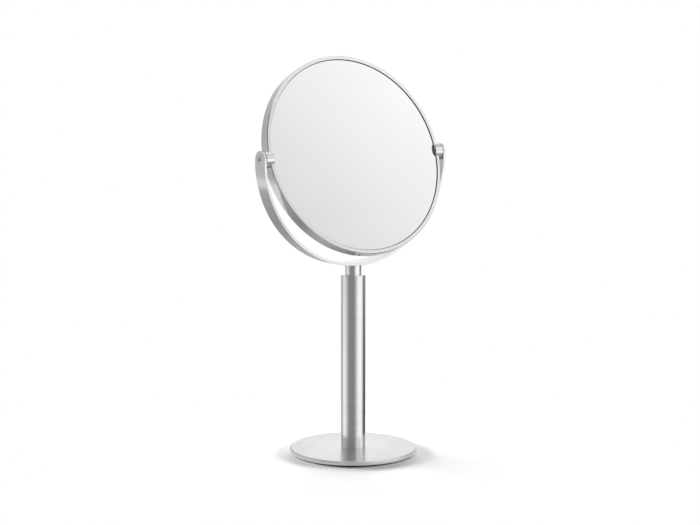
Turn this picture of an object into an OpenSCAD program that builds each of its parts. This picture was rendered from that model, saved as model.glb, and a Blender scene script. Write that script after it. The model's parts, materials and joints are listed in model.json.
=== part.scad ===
// Extendable shaving mirror: a two-sided round mirror that tips in a half-round yoke, on a
// telescopic column that slides up and swivels on a flat round foot.
// Frame: +Z up, origin at the centre of the underside, pivot axis of the mirror along X,
// plain mirror facing -Y. The column is drawn fully lowered.

/* [Foot] */
// Radius of the round base plate
plate_r = 63; // [52:0.5:90]
// Thickness of the base plate
plate_t = 4; // [4:0.5:10]
// Rounding of the base plate's top edge
plate_round = 1.5; // [0.5:0.1:2]
// Thickness of the anti-slip pad
pad_t = 1.5; // [1:0.1:3]
// How far the pad stays inside the plate's rim
pad_inset = 1.5; // [1:0.1:4]

/* [Column] */
// Outer radius of the fixed column tube
tube_r = 12.1; // [12:0.1:16]
// Wall of the fixed column tube
tube_wall = 1.5; // [1:0.1:2]
// Length of the fixed column tube
tube_len = 173; // [150:1:320]
// Outer radius of the sliding tube
slide_r = 8; // [6.5:0.1:8.5]
// Wall of the sliding tube
slide_wall = 1; // [0.8:0.1:1.5]
// Sliding tube left showing when the column is fully lowered
lowered_gap = 9.8; // [3:0.1:30]
// Height of the plug in the foot of the column
foot_plug_h = 20; // [14:1:40]
// Height of the top bush inside the column tube
top_bush_h = 24; // [16:1:40]

/* [Yoke] */
// Outer radius of the half-round yoke
yoke_r = 107.5; // [100:0.5:160]
// Thickness of the yoke strip
yoke_t = 2.5; // [2:0.1:3]
// Width of the yoke strip, which is also the diameter of its round ends
yoke_w = 17; // [15:0.5:20]

/* [Mirror head] */
// Outer radius of the mirror frame
ring_r = 100; // [85:0.5:101]
// Radial wall of the mirror frame
ring_wall = 3.5; // [3:0.1:5]
// Depth of the mirror frame from front to back
ring_depth = 12; // [11:0.1:14]
// Rounding of the frame's outer edges
ring_round = 1; // [0.3:0.1:1.4]
// How far each glass lies below the frame's face
glass_recess = 1.1; // [0.5:0.1:1.5]
// Thickness of the plain glass
plain_t = 2; // [2:0.1:3]
// Thickness of the magnifying glass
magnify_t = 2; // [1.8:0.1:3]
// Radius of curvature of the magnifying glass
magnify_curve_r = 1050; // [1000:10:2500]
// Width of the seal between each glass and the frame
seal_w = 0.6; // [0.4:0.1:1.2]
// Angle that the plain mirror looks up
tilt = 20; // [-40:1:40]

/* [Clearances] */
// Radial running clearance of the sliding tube and the swivel
slide_fit = 0.08; // [0.03:0.01:0.1]
// Radial running clearance of a pivot screw in its bush
pivot_fit = 0.08; // [0.03:0.01:0.1]
// Flat gap between parts that turn or slide against each other
face_gap = 0.1; // [0.05:0.01:0.2]
// Gap between a pivot block and the yoke
block_gap = 0.35; // [0.3:0.05:0.8]

/* [Hidden] */
$fn = 96;
eps = 0.01; // lets one cutter run past the face that it cuts

// The screw that holds the column on the base plate
base_head_r = 6;
base_shank_r = 3;
base_screw_len = 16;
base_socket = 4;
base_socket_depth = 2;
base_screw_gap = 0.2;

// Heights of the foot and the column
plate_bottom = pad_t;
plate_top = plate_bottom + plate_t;
base_screw_z = plate_bottom + base_screw_gap;
tube_top = plate_top + tube_len;
tube_bore_r = tube_r - tube_wall;
plug_top = plate_top + foot_plug_h;
stop_h = 3;
stop_inset = 0.6;
stop_bore_r = 3;
stop_top = plug_top + stop_h;
bush_bottom = tube_top - top_bush_h;
bush_cap_h = 2.5;
liner_wall = 1;
slide_bore_r = slide_r - slide_wall;

// The guide that rides in the column tube under the sliding tube
guide_bottom = stop_top + face_gap;
guide_floor_h = 5;
guide_wall_h = 14;
guide_floor_top = guide_bottom + guide_floor_h;
guide_top = guide_floor_top + guide_wall_h;
guide_gap = 0.3;
guide_r = tube_bore_r - guide_gap;
washer_h = 0.8;
slide_bottom = guide_floor_top + washer_h + face_gap;
end_plug_h = 14;
swivel_head_r = 5;
swivel_head_h = 3;
swivel_head_gap = 0.4;
swivel_thread_len = 9;
swivel_socket = 3;
swivel_socket_depth = 2;
shank_r = 3;
groove_h = 2.4;
groove_depth = 1.3;
brake_h = 2;
brake_z = bush_bottom + top_bush_h / 2;
guide_ring_z = [guide_floor_top + 2.5, guide_floor_top + 8.5];

// The yoke and the pivot axis
yoke_bottom = tube_top + lowered_gap;
pivot_z = yoke_bottom + yoke_r;
yoke_in_r = yoke_r - yoke_t;
ear_r = yoke_w / 2;
ear_out = sqrt(yoke_r * yoke_r - ear_r * ear_r);
ear_in = sqrt(yoke_in_r * yoke_in_r - ear_r * ear_r);
yoke_plug_h = 16;
stud_r = 2.5;
stud_len = 12;

// The pivots
block_r = ear_r;
block_out = ear_in - block_gap;
block_chamfer = 0.4;
ring_in_r = ring_r - ring_wall;
block_in = ring_in_r - 1;
pivot_r = 2;
pivot_head_r = 3.8;
pivot_socket = 2.5;
pivot_socket_depth = 1.5;
bush_r = 3.2;
bush_head_r = 4.4;
pivot_tip = ring_in_r + 0.3;
pocket_r = 5.8;
pocket_depth = 1.75;
pivot_washer_r = 5.4;
pivot_washer_bore_r = pivot_r + 0.35;
friction_t = 0.9;
spring_t = 0.4;

// The glasses
glass_r = ring_in_r - seal_w;
plain_front = ring_depth / 2 - glass_recess;
plain_back = plain_front - plain_t;
magnify_rim = -plain_front;
magnify_centre = magnify_rim + magnify_curve_r - sqrt(pow(magnify_curve_r, 2) - pow(glass_r, 2));
spacer_w = 4;
spacer_gap = 0.1;

// ---- Helpers ----

// Puts a shape drawn with +Z out of the plain mirror's face on the tilted head
module on_head() translate([0, 0, pivot_z]) rotate([90 - tilt, 0, 0]) children();

// Lays a shape drawn up +Z along the pivot axis, outwards on side -1 (left) or 1 (right)
module along_pivot(side) rotate([0, side * 90, 0]) children();

// A ring or a disc between two heights
module ring(r_out, r_in, z0, z1) {
    difference() {
        translate([0, 0, z0]) cylinder(r = r_out, h = z1 - z0);
        translate([0, 0, z0 - 1]) cylinder(r = r_in, h = z1 - z0 + 2);
    }
}

// A hexagon socket, measured across its flats
module hex_socket(flats, depth) cylinder(r = flats / sqrt(3), h = depth, $fn = 6);

// A countersunk screw along +Z: its head's face at z = 0 and its tip at z = length
module countersunk_screw(head_r, shaft_r, length, flats, socket_depth) {
    head_h = head_r - shaft_r;
    difference() {
        union() {
            cylinder(r1 = head_r, r2 = shaft_r, h = head_h);
            cylinder(r = shaft_r, h = length);
        }
        translate([0, 0, -eps]) hex_socket(flats, socket_depth + eps);
    }
}

// Half of the cross-section of the mirror frame, from its inner wall to its rounded outer edges
module frame_section() {
    half = ring_depth / 2;
    translate([ring_in_r, -half]) square([ring_wall - ring_round, ring_depth]);
    translate([ring_in_r, ring_round - half]) square([ring_wall, ring_depth - 2 * ring_round]);
    for (end = [-1, 1])
        translate([ring_r - ring_round, end * (half - ring_round)]) circle(r = ring_round, $fn = 48);
}

// ---- Foot ----

module foot_pad() {
    color("#2b2b2b")
        cylinder(r = plate_r - pad_inset, h = pad_t, $fn = 180);
}

module base_plate() {
    color("#d6d7d9")
        difference() {
            rotate_extrude($fn = 180) {
                translate([0, plate_bottom]) square([plate_r - plate_round, plate_t]);
                translate([0, plate_bottom]) square([plate_r, plate_t - plate_round]);
                translate([plate_r - plate_round, plate_top - plate_round])
                    circle(r = plate_round, $fn = 48);
            }
            translate([0, 0, plate_bottom - 1]) cylinder(r = base_shank_r + base_screw_gap, h = plate_t + 2);
            translate([0, 0, plate_bottom - eps])
                cylinder(r1 = base_head_r + base_screw_gap + eps, r2 = base_shank_r + base_screw_gap,
                    h = base_head_r - base_shank_r + eps);
        }
}

module base_screw() {
    color("#9c9da0")
        translate([0, 0, base_screw_z])
            countersunk_screw(base_head_r, base_shank_r, base_screw_len, base_socket, base_socket_depth);
}

module foot_plug() {
    color("#b9babd")
        difference() {
            translate([0, 0, plate_top]) cylinder(r = tube_bore_r, h = foot_plug_h);
            translate([0, 0, plate_top - 1])
                cylinder(r = base_shank_r, h = base_screw_z + base_screw_len - plate_top + 2);
        }
}

module outer_tube() {
    color("#c9cacc")
        ring(tube_r, tube_bore_r, plate_top, tube_top);
}

module bump_stop() {
    color("#333333")
        ring(tube_bore_r - stop_inset, stop_bore_r, plug_top, stop_top);
}

// A metal bush that closes the top of the column tube and guides the sliding tube
module top_bush() {
    color("#d8d9db")
        difference() {
            translate([0, 0, bush_bottom]) cylinder(r = tube_bore_r, h = top_bush_h);
            translate([0, 0, bush_bottom - 1]) cylinder(r = slide_r + slide_fit, h = top_bush_h + 2);
            translate([0, 0, bush_bottom - 1])
                cylinder(r = slide_r + liner_wall, h = top_bush_h - bush_cap_h + 1);
        }
}

module bush_liner() {
    color("#e9e9e4")
        difference() {
            ring(slide_r + liner_wall, slide_r + slide_fit, bush_bottom, tube_top - bush_cap_h);
            ring(slide_r + liner_wall + 1, 1, brake_z - groove_h / 2, brake_z + groove_h / 2);
        }
}

// The rubber ring between the two lengths of the liner that holds the sliding tube by friction
module brake_ring() {
    color("#262626")
        ring(slide_r + liner_wall - 0.05, slide_r + slide_fit, brake_z - brake_h / 2, brake_z + brake_h / 2);
}

// ---- Slide guide: slides with the inner tube and doesn't turn ----

module slide_guide() {
    color("#e9e9e4")
        difference() {
            translate([0, 0, guide_bottom]) cylinder(r = guide_r, h = guide_top - guide_bottom);
            translate([0, 0, guide_floor_top]) cylinder(r = slide_r + slide_fit, h = guide_wall_h + 1);
            translate([0, 0, guide_bottom - 1]) cylinder(r = shank_r + slide_fit, h = guide_floor_h + 2);
            translate([0, 0, guide_bottom - 1])
                cylinder(r = swivel_head_r + swivel_head_gap, h = 1 + swivel_head_h + 2 * face_gap);
            for (z = guide_ring_z)
                ring(guide_r + 1, guide_r - groove_depth, z - groove_h / 2, z + groove_h / 2);
        }
}

// Two rubber rings in the guide's grooves, which rub on the column tube's bore
module guide_rings() {
    color("#262626")
        for (z = guide_ring_z)
            ring(tube_bore_r - slide_fit, guide_r - groove_depth, z - brake_h / 2, z + brake_h / 2);
}

module swivel_washer() {
    color("#f2f2ee")
        ring(slide_r - 0.4, shank_r + 0.35, guide_floor_top, guide_floor_top + washer_h);
}

// ---- Arm: sliding tube and yoke ----

// Everything above the yoke's outer surface, for ends that meet its curve
module above_yoke_surface() {
    translate([0, 0, pivot_z]) rotate([90, 0, 0])
        cylinder(r = yoke_r, h = 4 * tube_r, center = true, $fn = 360);
}

module inner_tube() {
    color("#c9cacc")
        difference() {
            ring(slide_r, slide_bore_r, slide_bottom, yoke_bottom + 1);
            above_yoke_surface();
        }
}

module tube_end_plug() {
    color("#b9babd")
        difference() {
            translate([0, 0, slide_bottom]) cylinder(r = slide_bore_r, h = end_plug_h);
            translate([0, 0, slide_bottom - 1]) cylinder(r = shank_r, h = swivel_thread_len + 2);
        }
}

// Shoulder screw that holds the guide under the sliding tube and lets the tube turn on it
module swivel_screw() {
    head_bottom = guide_bottom + face_gap;
    color("#9c9da0")
        difference() {
            union() {
                translate([0, 0, head_bottom]) cylinder(r = swivel_head_r, h = swivel_head_h);
                translate([0, 0, head_bottom])
                    cylinder(r = shank_r, h = slide_bottom + swivel_thread_len - head_bottom);
            }
            translate([0, 0, head_bottom - eps]) hex_socket(swivel_socket, swivel_socket_depth + eps);
        }
}

module yoke_plug() {
    color("#b9babd")
        difference() {
            translate([0, 0, yoke_bottom - yoke_plug_h]) cylinder(r = slide_bore_r, h = yoke_plug_h + 1);
            above_yoke_surface();
            translate([0, 0, yoke_bottom - yoke_plug_h - 1]) cylinder(r = stud_r, h = yoke_plug_h + 3);
        }
}

// Threaded stud welded to the underside of the yoke
module yoke_stud() {
    color("#9c9da0")
        difference() {
            translate([0, 0, yoke_bottom - stud_len]) cylinder(r = stud_r, h = stud_len + 1);
            above_yoke_surface();
        }
}

// The yoke seen from the front, about the pivot axis: a half ring between two upright ears
module yoke_front_view() {
    difference() {
        circle(r = yoke_r, $fn = 360);
        circle(r = yoke_in_r, $fn = 360);
        translate([-2 * yoke_r, -ear_r]) square([4 * yoke_r, 3 * yoke_r]);
    }
    for (x = [-ear_out, ear_in])
        translate([x, -ear_r]) square([ear_out - ear_in, 2 * ear_r]);
}

// The yoke seen from the side, about the pivot axis: a strip with a round top
module yoke_side_view() {
    circle(r = ear_r);
    translate([-ear_r, -yoke_r - 1]) square([yoke_w, yoke_r + 1]);
}

// Half-round strip with two flat ears, each rounded about the pivot axis and countersunk
module yoke() {
    color("#c4c5c8")
        translate([0, 0, pivot_z])
            difference() {
                intersection() {
                    rotate([90, 0, 0]) linear_extrude(yoke_w + 2, center = true) yoke_front_view();
                    rotate([90, 0, 90]) linear_extrude(3 * yoke_r, center = true) yoke_side_view();
                }
                for (side = [-1, 1])
                    along_pivot(side) {
                        translate([0, 0, ear_in - 1]) cylinder(r = bush_r, h = yoke_t + 2);
                        translate([0, 0, ear_out - (bush_head_r - bush_r)])
                            cylinder(r1 = bush_r, r2 = bush_head_r + eps, h = bush_head_r - bush_r + eps);
                    }
            }
}

// Plastic bush that fills an ear's countersunk hole and carries the pivot screw
module ear_bush(side) {
    head_h = pivot_head_r - pivot_r;
    color("#d9d9d6")
        translate([0, 0, pivot_z]) along_pivot(side)
            difference() {
                union() {
                    translate([0, 0, ear_in]) cylinder(r = bush_r, h = ear_out - ear_in);
                    translate([0, 0, ear_out - (bush_head_r - bush_r)])
                        cylinder(r1 = bush_r, r2 = bush_head_r, h = bush_head_r - bush_r);
                }
                translate([0, 0, ear_in - 1]) cylinder(r = pivot_r + pivot_fit, h = yoke_t + 2);
                translate([0, 0, ear_out - head_h])
                    cylinder(r1 = pivot_r + pivot_fit, r2 = pivot_head_r + pivot_fit, h = head_h + eps);
            }
}

module left_ear_bush() ear_bush(-1);
module right_ear_bush() ear_bush(1);

// ---- Mirror head ----

module frame_ring() {
    color("#cfd0d2")
        on_head()
            difference() {
                rotate_extrude($fn = 360) frame_section();
                for (side = [-1, 1])
                    along_pivot(side)
                        translate([0, 0, ring_in_r - 2]) cylinder(r = pivot_r, h = ring_wall + 4);
            }
}

module plain_mirror() {
    color("#e6eaee")
        on_head()
            translate([0, 0, plain_back]) cylinder(r = glass_r, h = plain_t, $fn = 360);
}

// Concave glass: both faces are parts of spheres, and its hollow face looks out of the back
module magnifying_mirror() {
    centre_z = magnify_centre - magnify_curve_r;
    inner_r = magnify_curve_r + magnify_t;
    color("#e6eaee")
        on_head()
            rotate_extrude($fn = 360)
                intersection() {
                    translate([0, magnify_rim]) square([glass_r, 2 * ring_depth]);
                    difference() {
                        translate([0, centre_z]) circle(r = inner_r, $fn = 720);
                        translate([0, centre_z]) circle(r = magnify_curve_r, $fn = 720);
                    }
                }
}

// Plastic ring that keeps the two glasses apart at their rims, with its back face cut to the curved glass
module spacer_ring() {
    color("#3a3a3a")
        on_head()
            rotate_extrude($fn = 360)
                difference() {
                    translate([glass_r - spacer_w, magnify_rim])
                        square([spacer_w, plain_back - spacer_gap - magnify_rim]);
                    translate([0, magnify_centre - magnify_curve_r])
                        circle(r = magnify_curve_r + magnify_t + spacer_gap, $fn = 720);
                }
}

module front_seal() {
    color("#6b6c6e")
        on_head() ring(ring_in_r, glass_r, plain_back, plain_front - 0.1);
}

module back_seal() {
    color("#6b6c6e")
        on_head() ring(ring_in_r, glass_r, magnify_rim + 0.1, magnify_rim + magnify_t);
}

// Round block between the ear and the frame, with a slot across it that the frame sits in
module pivot_block(side) {
    color("#c9cacc")
        on_head()
            difference() {
                along_pivot(side) {
                    translate([0, 0, block_in])
                        cylinder(r = block_r, h = block_out - block_chamfer - block_in);
                    translate([0, 0, block_out - block_chamfer])
                        cylinder(r1 = block_r, r2 = block_r - block_chamfer, h = block_chamfer);
                }
                rotate_extrude($fn = 360) {
                    frame_section();
                    translate([0, -ring_depth / 2]) square([ring_in_r + eps, ring_depth]);
                }
                along_pivot(side) {
                    translate([0, 0, block_out - pocket_depth]) cylinder(r = pocket_r, h = pocket_depth + 1);
                    translate([0, 0, ring_in_r]) cylinder(r = pivot_r, h = block_out - ring_in_r);
                }
            }
}

module left_pivot_block() pivot_block(-1);
module right_pivot_block() pivot_block(1);

// Countersunk pivot screw: flush with the ear, turning in the bush, threaded into block and frame
module pivot_screw(side) {
    color("#a7a8ab")
        on_head()
            along_pivot(side)
                translate([0, 0, ear_out]) rotate([180, 0, 0])
                    countersunk_screw(pivot_head_r, pivot_r, ear_out - pivot_tip,
                        pivot_socket, pivot_socket_depth);
}

module left_pivot_screw() pivot_screw(-1);
module right_pivot_screw() pivot_screw(1);

module friction_washer(side) {
    color("#f2f2ee")
        on_head()
            along_pivot(side)
                ring(pivot_washer_r, pivot_washer_bore_r, ear_in - face_gap - friction_t, ear_in - face_gap);
}

module left_friction_washer() friction_washer(-1);
module right_friction_washer() friction_washer(1);

// Cone spring washer that presses the friction washer against the ear
module spring_washer(side) {
    pocket_floor = block_out - pocket_depth;
    rise = ear_in - face_gap - friction_t - pocket_floor - spring_t;
    color("#8f9093")
        on_head()
            along_pivot(side)
                translate([0, 0, pocket_floor])
                    rotate_extrude()
                        polygon([[pivot_washer_r, 0], [pivot_washer_r, spring_t],
                            [pivot_washer_bore_r, spring_t + rise], [pivot_washer_bore_r, rise]]);
}

module left_spring_washer() spring_washer(-1);
module right_spring_washer() spring_washer(1);

foot_pad();
base_plate();
base_screw();
foot_plug();
outer_tube();
bump_stop();
top_bush();
bush_liner();
brake_ring();
slide_guide();
guide_rings();
swivel_washer();
inner_tube();
tube_end_plug();
swivel_screw();
yoke_plug();
yoke_stud();
yoke();
left_ear_bush();
right_ear_bush();
frame_ring();
plain_mirror();
magnifying_mirror();
spacer_ring();
front_seal();
back_seal();
left_pivot_block();
right_pivot_block();
left_pivot_screw();
right_pivot_screw();
left_friction_washer();
right_friction_washer();
left_spring_washer();
right_spring_washer();
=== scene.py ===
"""Extendable shaving mirror: finished pieces, finishes, studio and camera.

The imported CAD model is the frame. Every piece that can be seen is modelled again here with fine edges and
grain coordinates. The pieces shut inside the column and the head keep their CAD shape and get a finish.
All lengths are metres, in the frame of the model.
"""

import json
import logging
import math
from collections.abc import Iterable, Sequence
from dataclasses import dataclass, field
from enum import Enum

import bmesh
import bpy
from mathutils import Matrix, Vector


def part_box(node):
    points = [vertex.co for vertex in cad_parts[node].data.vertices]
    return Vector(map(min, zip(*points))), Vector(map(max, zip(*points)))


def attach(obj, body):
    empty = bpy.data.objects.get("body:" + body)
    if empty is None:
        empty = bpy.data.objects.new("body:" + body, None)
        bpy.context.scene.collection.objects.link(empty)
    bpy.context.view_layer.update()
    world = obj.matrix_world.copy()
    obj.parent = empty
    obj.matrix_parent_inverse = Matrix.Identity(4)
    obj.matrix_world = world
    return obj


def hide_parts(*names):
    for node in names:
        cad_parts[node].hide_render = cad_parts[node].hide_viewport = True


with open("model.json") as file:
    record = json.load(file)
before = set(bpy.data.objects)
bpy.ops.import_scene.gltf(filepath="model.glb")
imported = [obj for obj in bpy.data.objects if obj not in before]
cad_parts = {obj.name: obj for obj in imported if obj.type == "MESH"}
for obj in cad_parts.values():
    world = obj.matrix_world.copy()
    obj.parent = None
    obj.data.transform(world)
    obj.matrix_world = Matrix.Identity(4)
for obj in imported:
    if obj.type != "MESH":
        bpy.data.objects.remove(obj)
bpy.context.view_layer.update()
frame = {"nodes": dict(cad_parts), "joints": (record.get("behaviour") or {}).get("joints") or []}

LOG = logging.getLogger("shaving_mirror")
MM = 0.001
GRAIN_UV = "grain"
FLAT_POINTINESS = 0.52
DUST_PER_SMUDGE = 24.0
BRUSH_DEPTH = 0.02 * MM
SKIN_DEPTH = 0.04 * MM
Outline = list[tuple[float, float]]
Colour = tuple[float, float, float]


class Lay(Enum):
    """Which way the brushed lines of a piece run."""

    STRAIGHT = 0.0
    ROUND = 1.0


# ---- Node sheets ----


class Sheet:
    """Short hand for adding and joining nodes in one tree."""

    def __init__(self, tree: bpy.types.NodeTree) -> None:
        """Keeps the tree that nodes are added to."""
        self.tree = tree

    def add(self, kind: str, **settings: object) -> bpy.types.Node:
        """Adds a node.

        Args:
            kind: The node's type name.
            settings: Properties to set on it.

        Returns:
            The new node.
        """
        node = self.tree.nodes.new(kind)
        for name, value in settings.items():
            setattr(node, name, value)
        return node

    def feed(self, socket: bpy.types.NodeSocket, value: object) -> None:
        """Joins a socket to another one, or gives it a constant."""
        if isinstance(value, bpy.types.NodeSocket):
            self.tree.links.new(value, socket)
        else:
            socket.default_value = value

    def math(self, operation: str, *values: object, clamp: bool = False) -> bpy.types.NodeSocket:
        """Adds a Math node.

        Args:
            operation: The operation's name.
            values: Sockets or numbers, in the node's order.
            clamp: Whether the result stays from 0 to 1.

        Returns:
            The result socket.
        """
        node = self.add("ShaderNodeMath", operation=operation, use_clamp=clamp)
        for socket, value in zip(node.inputs, values):
            self.feed(socket, value)
        return node.outputs[0]

    def remap(self, value: object, low: object, high: object, to_low: float = 0.0, to_high: float = 1.0,
              smooth: bool = True) -> bpy.types.NodeSocket:
        """Carries a value from one range to another, held at its ends."""
        node = self.add("ShaderNodeMapRange", interpolation_type="SMOOTHSTEP" if smooth else "LINEAR")
        for name, item in (("Value", value), ("From Min", low), ("From Max", high),
                           ("To Min", to_low), ("To Max", to_high)):
            self.feed(node.inputs[name], item)
        return node.outputs["Result"]

    def blend(self, share: object, first: object, second: object) -> bpy.types.NodeSocket:
        """Mixes two colours by a share from 0 to 1."""
        node = self.add("ShaderNodeMix", data_type="RGBA")
        colours = [s for s in node.inputs if s.type == "RGBA"]
        for socket, value in ((node.inputs["Factor"], share), (colours[0], first), (colours[1], second)):
            self.feed(socket, (*value, 1.0) if isinstance(value, tuple) and len(value) == 3 else value)
        return next(s for s in node.outputs if s.type == "RGBA")

    def noise(self, vector: object, scale: object, detail: float,
              across: object = None) -> bpy.types.NodeSocket:
        """Adds a noise texture, with a fourth coordinate if one is given."""
        node = self.add("ShaderNodeTexNoise", noise_dimensions="3D" if across is None else "4D")
        self.feed(node.inputs["Vector"], vector)
        self.feed(node.inputs["Scale"], scale)
        self.feed(node.inputs["Detail"], detail)
        if across is not None:
            self.feed(node.inputs["W"], across)
        return node.outputs[0]


def node_group(name: str, inputs: Sequence[tuple[str, str, float]],
               outputs: Sequence[str]) -> tuple[Sheet, bpy.types.Node, bpy.types.Node]:
    """Starts a shader node group.

    Args:
        name: The group's name.
        inputs: Name, socket type and starting value of each input.
        outputs: Name of each number that the group puts out.

    Returns:
        The group's sheet, its input node and its output node.
    """
    tree = bpy.data.node_groups.new(name, "ShaderNodeTree")
    for label, kind, start in inputs:
        socket = tree.interface.new_socket(name=label, in_out="INPUT", socket_type=kind)
        if kind == "NodeSocketFloat":
            socket.default_value = start
    for label in outputs:
        tree.interface.new_socket(name=label, in_out="OUTPUT", socket_type="NodeSocketFloat")
    sheet = Sheet(tree)
    return sheet, sheet.add("NodeGroupInput"), sheet.add("NodeGroupOutput")


def brushed_grain_group() -> bpy.types.NodeTree:
    """Lines of a brushed surface: straight along X, or round the Z axis.

    Returns:
        A group with Fine lines, Broad bands and a Height, each from 0 to 1.
    """
    sheet, given, result = node_group(
        "Brushed grain",
        (("Vector", "NodeSocketVector", 0.0), ("Along", "NodeSocketFloat", 60.0),
         ("Across", "NodeSocketFloat", 2500.0), ("Round", "NodeSocketFloat", 1.0)),
        ("Fine", "Broad", "Height"))
    parts = sheet.add("ShaderNodeSeparateXYZ")
    sheet.feed(parts.inputs[0], given.outputs["Vector"])
    x, y, z = parts.outputs
    along, across, turn = given.outputs["Along"], given.outputs["Across"], given.outputs["Round"]
    squares = sheet.math("ADD", sheet.math("MULTIPLY", x, x), sheet.math("MULTIPLY", y, y))
    radius = sheet.math("SQRT", squares)
    y_scale = sheet.math("ADD", sheet.math("MULTIPLY", along, turn),
                         sheet.math("MULTIPLY", across, sheet.math("SUBTRACT", 1.0, turn)))
    outward = sheet.math("MULTIPLY", sheet.math("MULTIPLY", radius, across), turn)
    stretched = sheet.add("ShaderNodeCombineXYZ")
    for socket, value in zip(stretched.inputs, (sheet.math("MULTIPLY", x, along),
                                                sheet.math("MULTIPLY", y, y_scale),
                                                sheet.math("MULTIPLY", z, across))):
        sheet.feed(socket, value)
    fine = sheet.noise(stretched.outputs[0], 1.0, 3.0, outward)
    band = sheet.noise(stretched.outputs[0], 0.17, 2.0, outward)
    for label, value in (("Fine", sheet.remap(fine, 0.3, 0.7)),
                         ("Broad", sheet.remap(band, 0.32, 0.68)),
                         ("Height", fine)):
        sheet.feed(result.inputs[label], value)
    return sheet.tree


def handling_group() -> bpy.types.NodeTree:
    """Faint marks of handling and cleaning.

    Returns:
        A group with Smudge, wide soft marks, and Specks, fine dust, each from 0 to 1.
    """
    sheet, given, result = node_group(
        "Handling marks", (("Vector", "NodeSocketVector", 0.0), ("Scale", "NodeSocketFloat", 18.0)),
        ("Smudge", "Specks"))
    wide = sheet.noise(given.outputs["Vector"], given.outputs["Scale"], 4.0)
    dots = sheet.add("ShaderNodeTexVoronoi", feature="F1")
    sheet.feed(dots.inputs["Vector"], given.outputs["Vector"])
    sheet.feed(dots.inputs["Scale"], sheet.math("MULTIPLY", given.outputs["Scale"], DUST_PER_SMUDGE))
    sheet.feed(result.inputs["Smudge"], sheet.remap(wide, 0.45, 0.75))
    sheet.feed(result.inputs["Specks"], sheet.remap(dots.outputs["Distance"], 0.04, 0.12, 1.0, 0.0))
    return sheet.tree


def edge_group() -> bpy.types.NodeTree:
    """Edges rubbed bright by polishing and use.

    Returns:
        A group with an Edge mask from 0 to 1, broken up so that it isn't an even line.
    """
    sheet, given, result = node_group(
        "Rubbed edges", (("Vector", "NodeSocketVector", 0.0), ("Reach", "NodeSocketFloat", 0.06)), ("Edge",))
    shape = sheet.add("ShaderNodeNewGeometry")
    sharpest = sheet.math("ADD", FLAT_POINTINESS, given.outputs["Reach"])
    bent = sheet.remap(shape.outputs["Pointiness"], FLAT_POINTINESS, sharpest)
    broken = sheet.remap(sheet.noise(given.outputs["Vector"], 220.0, 3.0), 0.35, 0.65, 0.45, 1.0)
    sheet.feed(result.inputs["Edge"], sheet.math("MULTIPLY", bent, broken, clamp=True))
    return sheet.tree


def pebble_group() -> bpy.types.NodeTree:
    """Fine skin of moulded rubber and plastic.

    Returns:
        A group with a Height and a soft Tone, each from 0 to 1.
    """
    sheet, given, result = node_group(
        "Moulded skin", (("Vector", "NodeSocketVector", 0.0), ("Scale", "NodeSocketFloat", 1500.0)),
        ("Height", "Tone"))
    cells = sheet.add("ShaderNodeTexVoronoi", feature="SMOOTH_F1")
    sheet.feed(cells.inputs["Vector"], given.outputs["Vector"])
    sheet.feed(cells.inputs["Scale"], given.outputs["Scale"])
    sheet.feed(result.inputs["Height"], cells.outputs["Distance"])
    tone = sheet.noise(given.outputs["Vector"], 70.0, 5.0)
    sheet.feed(result.inputs["Tone"], sheet.remap(tone, 0.3, 0.7))
    return sheet.tree


class SharedEffects:
    """The node groups that several finishes share, each built once."""

    def __init__(self) -> None:
        """Builds the four groups."""
        self.grain = brushed_grain_group()
        self.handling = handling_group()
        self.edges = edge_group()
        self.pebble = pebble_group()


# ---- Finishes ----


class Finish:
    """Starts a material and joins its common parts."""

    slot: str

    def start(self) -> tuple[bpy.types.Material, Sheet, bpy.types.Node, bpy.types.NodeSocket]:
        """Makes the material.

        Returns:
            The material, its sheet, its Principled node and its Object coordinates.
        """
        material = bpy.data.materials.new(self.slot)
        material.use_nodes = True
        sheet = Sheet(material.node_tree)
        shader = next(n for n in material.node_tree.nodes if n.type == "BSDF_PRINCIPLED")
        place = sheet.add("ShaderNodeTexCoord").outputs["Object"]
        return material, sheet, shader, place

    @staticmethod
    def use(sheet: Sheet, group: bpy.types.NodeTree, **values: object) -> bpy.types.Node:
        """Places a shared group and feeds its inputs.

        Args:
            sheet: The material's sheet.
            group: The shared group.
            values: A socket or number for each input, by its name.

        Returns:
            The group node.
        """
        node = sheet.add("ShaderNodeGroup")
        node.node_tree = group
        for name, value in values.items():
            sheet.feed(node.inputs[name], value)
        return node

    @staticmethod
    def bump(sheet: Sheet, shader: bpy.types.Node, height: object, strength: float, distance: float) -> None:
        """Feeds a height to the shader's normal."""
        node = sheet.add("ShaderNodeBump")
        sheet.feed(node.inputs["Height"], height)
        node.inputs["Strength"].default_value = strength
        node.inputs["Distance"].default_value = distance
        sheet.feed(shader.inputs["Normal"], node.outputs["Normal"])


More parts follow.
